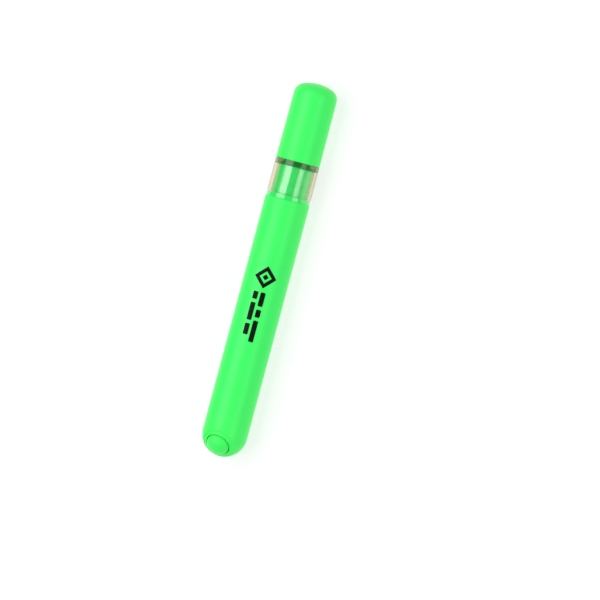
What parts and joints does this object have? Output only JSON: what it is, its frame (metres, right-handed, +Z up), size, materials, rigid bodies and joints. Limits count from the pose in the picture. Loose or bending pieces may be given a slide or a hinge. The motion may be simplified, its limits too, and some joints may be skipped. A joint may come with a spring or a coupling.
{
  "type": "highlighter pen",
  "caption": "Capped chisel-nib highlighter with a round-ended barrel, clear window in the pull-off cap, translucent nib holder, fibre ink reservoir and a domed plug in the rear end.",
  "frame": {"origin": "under the middle of the pen's whole length, on the surface the pen lies on", "axes": "+X along the pen axis towards the cap, +Z up, the domed plug on the upper side of the rear end"},
  "size_m": [0.135, 0.016, 0.016],
  "materials": {
    "barrel_plastic": "opaque fluorescent green, satin",
    "holder_plastic": "translucent green, polished",
    "nib_fibre": "bonded polyester fibre soaked in green ink",
    "reservoir_fibre": "bonded fibre soaked in green ink",
    "wrap_film": "thin clear film",
    "cover_plastic": "opaque fluorescent green, satin",
    "band_plastic": "transparent smoke grey, polished",
    "clear_plastic": "clear with a faint warm tint, polished",
    "print_ink": "black pad-print ink",
    "seal_plastic": "soft translucent white"
  },
  "bodies": {
    "barrel": {"barrel": "barrel_plastic", "nib_holder": "holder_plastic", "nib": "nib_fibre", "ink_reservoir": "reservoir_fibre", "reservoir_wrap": "wrap_film"},
    "cap": {"cap_cover": "cover_plastic", "cap_band": "band_plastic", "cap_sleeve": "clear_plastic", "inner_cap": "seal_plastic"},
    "plug": {"refill_plug": "barrel_plastic"}
  },
  "joints": [
    {"name": "cap_pull", "type": "slide", "parent": "barrel", "child": "cap", "axis": [1, 0, 0], "range_m": [0, 0.045]},
    {"name": "plug_pull", "type": "slide", "parent": "barrel", "child": "plug", "axis": [-0.682, 0, 0.7314], "range_m": [0, 0.008]}
  ]
}
